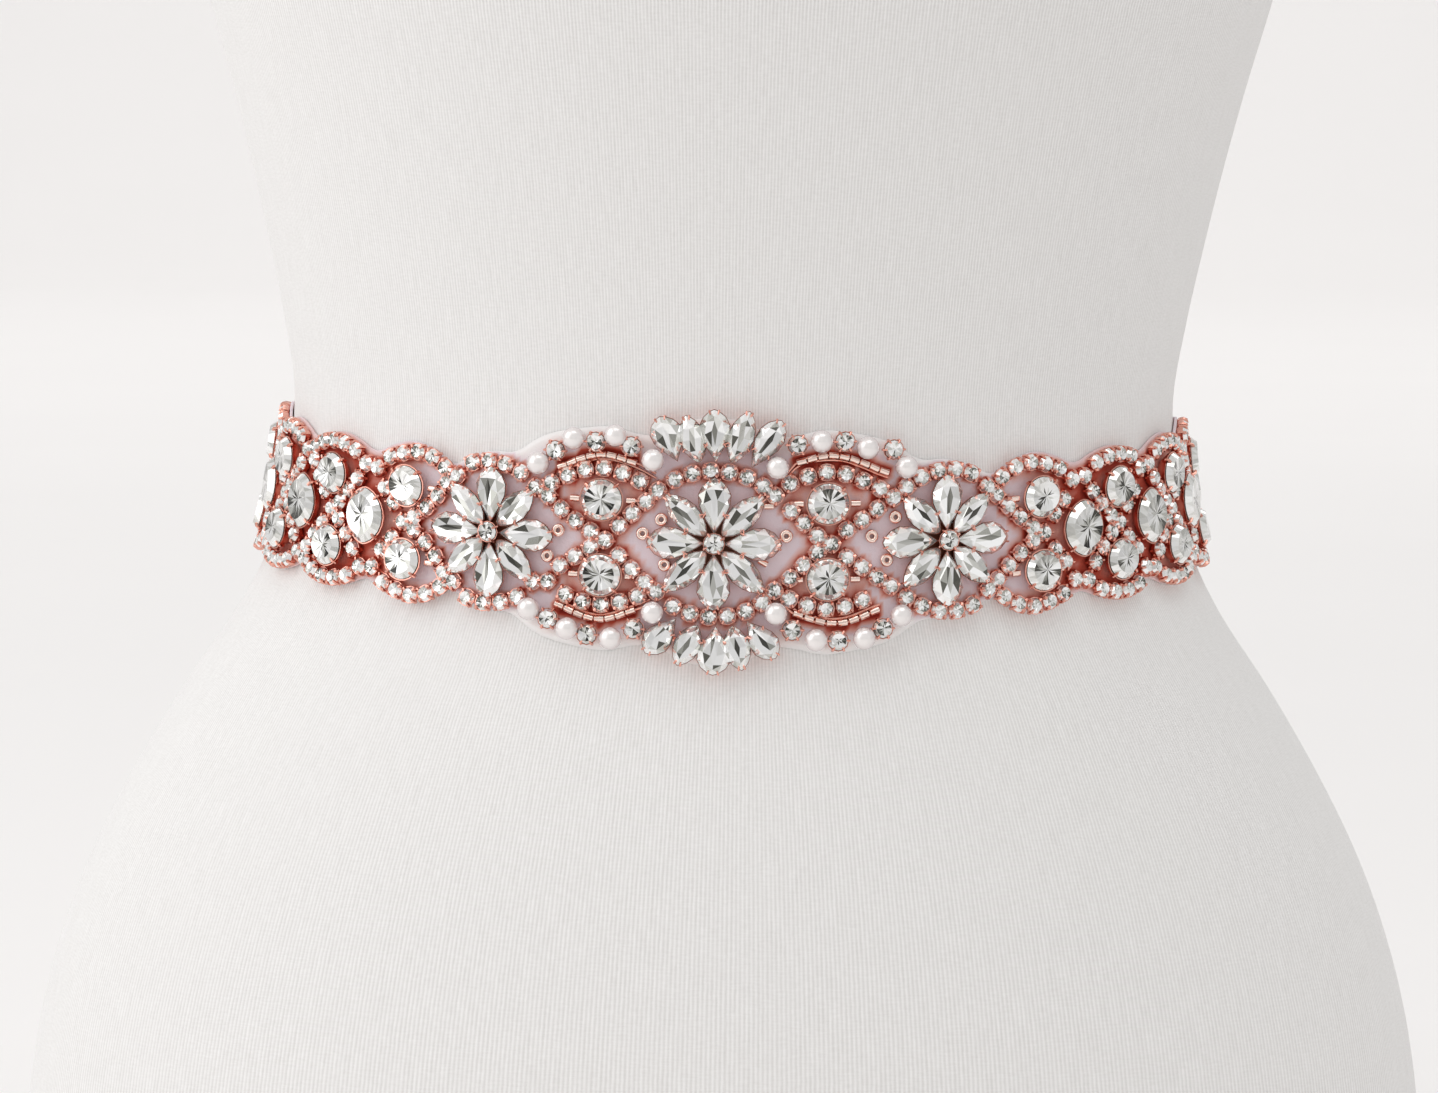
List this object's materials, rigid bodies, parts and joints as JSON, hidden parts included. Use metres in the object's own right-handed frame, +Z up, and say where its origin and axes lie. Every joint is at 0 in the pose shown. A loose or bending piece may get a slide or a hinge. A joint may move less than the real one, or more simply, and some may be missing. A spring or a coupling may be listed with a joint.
{
  "type": "bridal sash on a limbless dress form",
  "caption": "Bridal sash with a crystal and pearl applique in rose gold settings on a scalloped cloth backing, closed by ribbon, worn on a white limbless dress form.",
  "frame": {"origin": "centre of the dress form's flat base, on the surface it stands on", "axes": "+Z up, the front of the sash faces -Y, +X to the viewer's right"},
  "size_m": [0.3894, 0.236, 0.62],
  "materials": {
    "jersey": "white knitted jersey cover, matt",
    "backing": "pale lilac pink cloth, matt",
    "satin": "ivory satin ribbon, soft sheen",
    "rose_gold": "bright rose gold plate",
    "crystal": "foil-backed faceted glass stones in claw settings",
    "pearl": "imitation pearl lacquer, satin gloss"
  },
  "bodies": {
    "root": {"dress_form": "jersey", "backing_cloth": "backing", "ribbon_left": "satin", "ribbon_right": "satin", "crystal_chain": "rose_gold", "flower_centre": "crystal", "flower_left": "crystal", "flower_right": "crystal", "fan_top": "crystal", "fan_bottom": "crystal", "pearl_row_top_right": "pearl", "pearl_row_top_left": "pearl", "pearl_row_bottom_right": "pearl", "pearl_row_bottom_left": "pearl", "bugle_arc_top_right": "rose_gold", "bugle_arc_top_left": "rose_gold", "bugle_arc_bottom_right": "rose_gold", "bugle_arc_bottom_left": "rose_gold", "eye_stone_top_right": "crystal", "eye_stone_bottom_right": "crystal", "pair_stone_1_top_right": "crystal", "pair_stone_1_bottom_right": "crystal", "single_stone_1_right": "crystal", "pair_stone_2_top_right": "crystal", "pair_stone_2_bottom_right": "crystal", "single_stone_2_right": "crystal", "pair_stone_3_top_right": "crystal", "pair_stone_3_bottom_right": "crystal", "single_stone_3_right": "crystal", "pair_stone_4_top_right": "crystal", "pair_stone_4_bottom_right": "crystal", "single_stone_4_right": "crystal", "eye_stone_top_left": "crystal", "eye_stone_bottom_left": "crystal", "pair_stone_1_top_left": "crystal", "pair_stone_1_bottom_left": "crystal", "single_stone_1_left": "crystal", "pair_stone_2_top_left": "crystal", "pair_stone_2_bottom_left": "crystal", "single_stone_2_left": "crystal", "pair_stone_3_top_left": "crystal", "pair_stone_3_bottom_left": "crystal", "single_stone_3_left": "crystal", "pair_stone_4_top_left": "crystal", "pair_stone_4_bottom_left": "crystal", "single_stone_4_left": "crystal"}
  },
  "joints": []
}
